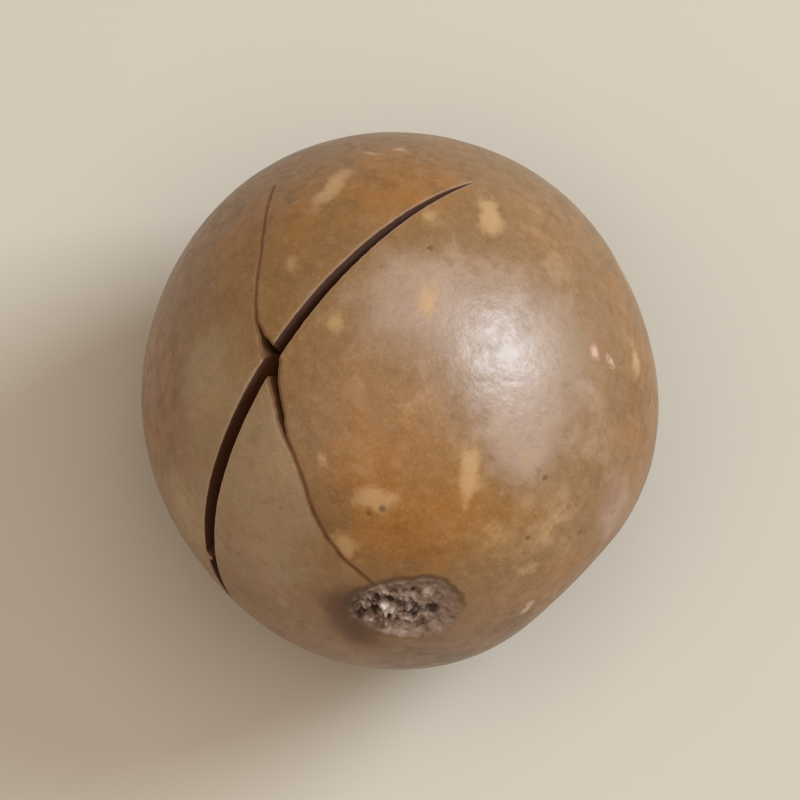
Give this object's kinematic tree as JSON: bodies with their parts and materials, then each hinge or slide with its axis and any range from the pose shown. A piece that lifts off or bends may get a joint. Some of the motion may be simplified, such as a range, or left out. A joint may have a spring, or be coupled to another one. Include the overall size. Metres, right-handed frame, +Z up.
{
  "type": "macadamia nut in shell",
  "caption": "Whole round nut in a hard brown shell, with a blind saw kerf for a key, a fine crack along its seam, a rough round scar and a small flat spot to rest on.",
  "frame": {"origin": "under the middle of the nut's box, on the surface it rests on", "axes": "+Z up as the nut lies; -Y is the front, where the scar faces, low down; the kerf and the cracked seam are on top, on the -X side"},
  "size_m": [0.0248, 0.0262, 0.0248],
  "materials": {
    "shell": "dry nutshell, half glossy and brown, with paler flecks, a dull scar and a dark sawn kerf"
  },
  "bodies": {
    "root": {"nut": "shell"}
  },
  "joints": []
}
